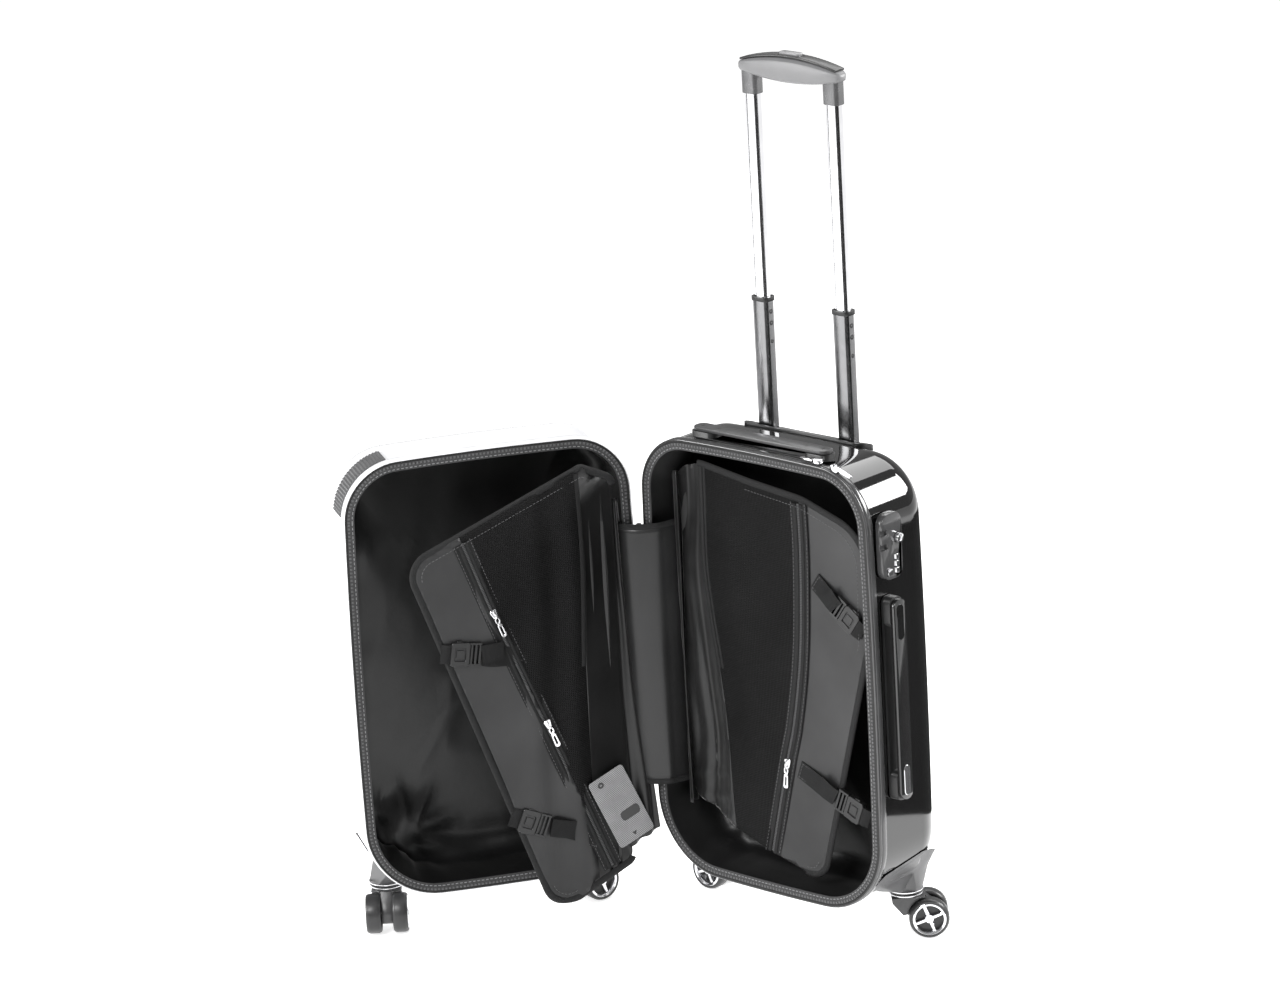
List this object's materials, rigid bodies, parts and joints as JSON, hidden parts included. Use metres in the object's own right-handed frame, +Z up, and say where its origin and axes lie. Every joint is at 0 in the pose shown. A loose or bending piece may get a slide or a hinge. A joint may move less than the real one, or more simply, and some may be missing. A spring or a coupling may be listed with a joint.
{
  "type": "cabin trolley case",
  "caption": "Hard-shell cabin trolley case opened like a book, with spinner casters, telescopic handle, combination lock, carry handles and hanging fabric dividers.",
  "frame": {"origin": "middle of the footprint of the opened case, on the floor that its wheels stand on", "axes": "+Z up; the back half stands square to X and Y with its open side towards -Y and its hinge side towards -X; the hinge between the halves is upright"},
  "size_m": [0.6064, 0.4168, 0.9815],
  "materials": {
    "back_shell_plastic": "gloss",
    "front_shell_plastic": "gloss",
    "zip_tape": "woven",
    "lining": "satin",
    "divider_cloth": "fine mesh with a smooth coated band",
    "coated_cloth": "smooth satin coating",
    "webbing": "woven",
    "black_plastic": "satin",
    "gloss_handle": "gloss",
    "grey_plastic": "satin",
    "wheel": "satin tread with bright rims",
    "chrome": "polished",
    "dark_chrome": "polished",
    "grip_plastic": "satin",
    "card": "fine cross-hatch"
  },
  "bodies": {
    "back_half": {"back_shell": "back_shell_plastic", "back_zip_tape": "zip_tape", "back_lining": "lining", "hinge_tape": "zip_tape", "hinge_cover_back": "coated_cloth", "trolley_fixed_tube_left": "dark_chrome", "trolley_fixed_tube_right": "dark_chrome", "trolley_foot": "black_plastic", "trolley_bezel": "black_plastic", "caster_housing_back_outer": "grey_plastic", "caster_housing_back_hinge": "grey_plastic", "top_handle_base": "black_plastic", "side_handle_base": "black_plastic", "lock_body": "grey_plastic"},
    "front_half": {"front_shell": "front_shell_plastic", "front_zip_tape": "zip_tape", "front_lining": "lining", "hinge_cover_front": "coated_cloth", "caster_housing_front_outer": "grey_plastic", "caster_housing_front_hinge": "grey_plastic"},
    "front_divider": {"front_divider": "divider_cloth", "front_divider_strap_high": "webbing", "front_divider_strap_low": "webbing", "front_divider_buckle_high": "black_plastic", "front_divider_buckle_low": "black_plastic", "tag_card": "card"},
    "front_zip_pull_high": {"front_divider_zip_pull_high": "chrome"},
    "front_zip_pull_low": {"front_divider_zip_pull_low": "chrome"},
    "back_divider": {"back_divider": "divider_cloth", "back_divider_strap_high": "webbing", "back_divider_strap_low": "webbing", "back_divider_buckle_high": "black_plastic", "back_divider_buckle_low": "black_plastic"},
    "back_zip_pull": {"back_divider_zip_pull": "chrome"},
    "trolley_lower": {"trolley_lower_tube_left": "dark_chrome", "trolley_lower_tube_right": "dark_chrome", "trolley_collar_left": "black_plastic", "trolley_collar_right": "black_plastic"},
    "trolley_upper": {"trolley_upper_tube_left": "chrome", "trolley_upper_tube_right": "chrome", "grip_body": "grip_plastic", "grip_cap": "black_plastic"},
    "grip_button": {"grip_button": "chrome"},
    "top_handle": {"top_handle": "gloss_handle"},
    "side_handle": {"side_handle": "gloss_handle"},
    "lock_dial_1": {"lock_dial_1": "black_plastic"},
    "lock_dial_2": {"lock_dial_2": "black_plastic"},
    "lock_dial_3": {"lock_dial_3": "black_plastic"},
    "lock_key": {"lock_key_cylinder": "chrome"},
    "lock_button": {"lock_button": "chrome"},
    "zip_slider_1": {"zip_slider_1": "chrome"},
    "zip_slider_2": {"zip_slider_2": "chrome"},
    "caster_back_outer": {"caster_fork_back_outer": "grey_plastic"},
    "caster_back_hinge": {"caster_fork_back_hinge": "grey_plastic"},
    "caster_front_outer": {"caster_fork_front_outer": "grey_plastic"},
    "caster_front_hinge": {"caster_fork_front_hinge": "grey_plastic"},
    "wheels_back_outer": {"caster_wheels_back_outer": "wheel"},
    "wheels_back_hinge": {"caster_wheels_back_hinge": "wheel"},
    "wheels_front_outer": {"caster_wheels_front_outer": "wheel"},
    "wheels_front_hinge": {"caster_wheels_front_hinge": "wheel"}
  },
  "joints": [
    {"name": "case_hinge", "type": "hinge", "parent": "back_half", "child": "front_half", "pos_m": [-0.04909, 0.07629, 0.3], "axis": [0, 0, 1], "range_deg": [-58, 122]},
    {"name": "front_divider_turn", "type": "hinge", "parent": "front_half", "child": "front_divider", "pos_m": [-0.0581, 0.02776, 0.541], "axis": [-0.9135, 0.4067, 0], "range_deg": [-9.2, 19.2]},
    {"name": "front_zip_pull_high_slide", "type": "slide", "parent": "front_divider", "child": "front_zip_pull_high", "axis": [0.1488, 0.3342, -0.9307], "range_m": [-0.055, 0.003]},
    {"name": "front_zip_pull_low_slide", "type": "slide", "parent": "front_divider", "child": "front_zip_pull_low", "axis": [0.1488, 0.3342, -0.9307], "range_m": [-0.045, 0.035]},
    {"name": "back_divider_swing", "type": "hinge", "parent": "back_half", "child": "back_divider", "pos_m": [-0.01909, 0.09829, 0.3], "axis": [0, 0, 1], "range_deg": [-5.3, 11.1]},
    {"name": "back_zip_pull_slide", "type": "slide", "parent": "back_divider", "child": "back_zip_pull", "axis": [-0.0926, 0, -0.9957], "range_m": [-0.03, 0.05]},
    {"name": "trolley_lower_slide", "type": "slide", "parent": "back_half", "child": "trolley_lower", "axis": [0, 0, 1], "range_m": [-0.155, 0]},
    {"name": "trolley_upper_slide", "type": "slide", "parent": "trolley_lower", "child": "trolley_upper", "axis": [0, 0, 1], "range_m": [-0.2275, 0]},
    {"name": "grip_button_press", "type": "slide", "parent": "trolley_upper", "child": "grip_button", "axis": [0, 0, -1], "range_m": [0, 0.0018], "stiffness_N_per_m": 300},
    {"name": "top_handle_lift", "type": "slide", "parent": "back_half", "child": "top_handle", "axis": [0, 0, 1], "range_m": [0, 0.0045]},
    {"name": "side_handle_lift", "type": "slide", "parent": "back_half", "child": "side_handle", "axis": [1, 0, 0], "range_m": [0, 0.006], "stiffness_N_per_m": 300},
    {"name": "lock_dial_1_spin", "type": "hinge", "parent": "back_half", "child": "lock_dial_1", "pos_m": [0.29171, 0.11379, 0.4588], "axis": [0, 0, 1], "continuous": true},
    {"name": "lock_dial_2_spin", "type": "hinge", "parent": "back_half", "child": "lock_dial_2", "pos_m": [0.29171, 0.11379, 0.4512], "axis": [0, 0, 1], "continuous": true},
    {"name": "lock_dial_3_spin", "type": "hinge", "parent": "back_half", "child": "lock_dial_3", "pos_m": [0.29171, 0.11379, 0.4436], "axis": [0, 0, 1], "continuous": true},
    {"name": "lock_key_turn", "type": "hinge", "parent": "back_half", "child": "lock_key", "pos_m": [0.28871, 0.11479, 0.48], "axis": [1, 0, 0], "range_deg": [0, 90]},
    {"name": "lock_button_press", "type": "slide", "parent": "back_half", "child": "lock_button", "axis": [-1, 0, 0], "range_m": [0, 0.0012], "stiffness_N_per_m": 300},
    {"name": "zip_slider_1_turn", "type": "hinge", "parent": "back_half", "child": "zip_slider_1", "pos_m": [0.22091, 0.08149, 0.492], "axis": [0, 1, 0], "range_deg": [-9, 55]},
    {"name": "zip_slider_2_slide", "type": "slide", "parent": "back_half", "child": "zip_slider_2", "axis": [1, 0, 0], "range_m": [-0.15, 0.003]},
    {"name": "caster_back_outer_swivel", "type": "hinge", "parent": "back_half", "child": "caster_back_outer", "pos_m": [0.24491, 0.16159, 0.048], "axis": [0, 0, 1], "continuous": true},
    {"name": "caster_back_hinge_swivel", "type": "hinge", "parent": "back_half", "child": "caster_back_hinge", "pos_m": [-0.00709, 0.16029, 0.048], "axis": [0, 0, 1], "continuous": true},
    {"name": "caster_front_outer_swivel", "type": "hinge", "parent": "front_half", "child": "caster_front_outer", "pos_m": [-0.25661, -0.15015, 0.048], "axis": [0, 0, 1], "continuous": true},
    {"name": "caster_front_hinge_swivel", "type": "hinge", "parent": "front_half", "child": "caster_front_hinge", "pos_m": [-0.12223, 0.07246, 0.048], "axis": [0, 0, 1], "continuous": true},
    {"name": "wheels_back_outer_spin", "type": "hinge", "parent": "caster_back_outer", "child": "wheels_back_outer", "pos_m": [0.26247, 0.17796, 0.0225], "axis": [-0.682, 0.7314, 0], "continuous": true},
    {"name": "wheels_back_hinge_spin", "type": "hinge", "parent": "caster_back_hinge", "child": "wheels_back_hinge", "pos_m": [-0.03109, 0.16029, 0.0225], "axis": [0, -1, 0], "continuous": true},
    {"name": "wheels_front_outer_spin", "type": "hinge", "parent": "caster_front_outer", "child": "wheels_front_outer", "pos_m": [-0.24024, -0.1677, 0.0225], "axis": [0.7314, 0.682, 0], "continuous": true},
    {"name": "wheels_front_hinge_spin", "type": "hinge", "parent": "caster_front_hinge", "child": "wheels_front_hinge", "pos_m": [-0.12722, 0.04899, 0.0225], "axis": [0.9781, -0.2079, 0], "continuous": true}
  ],
  "couplings": [
    {"joint": "front_divider_turn", "follows": "case_hinge", "ratio": 0.1566},
    {"joint": "back_divider_swing", "follows": "case_hinge", "ratio": 0.09}
  ]
}
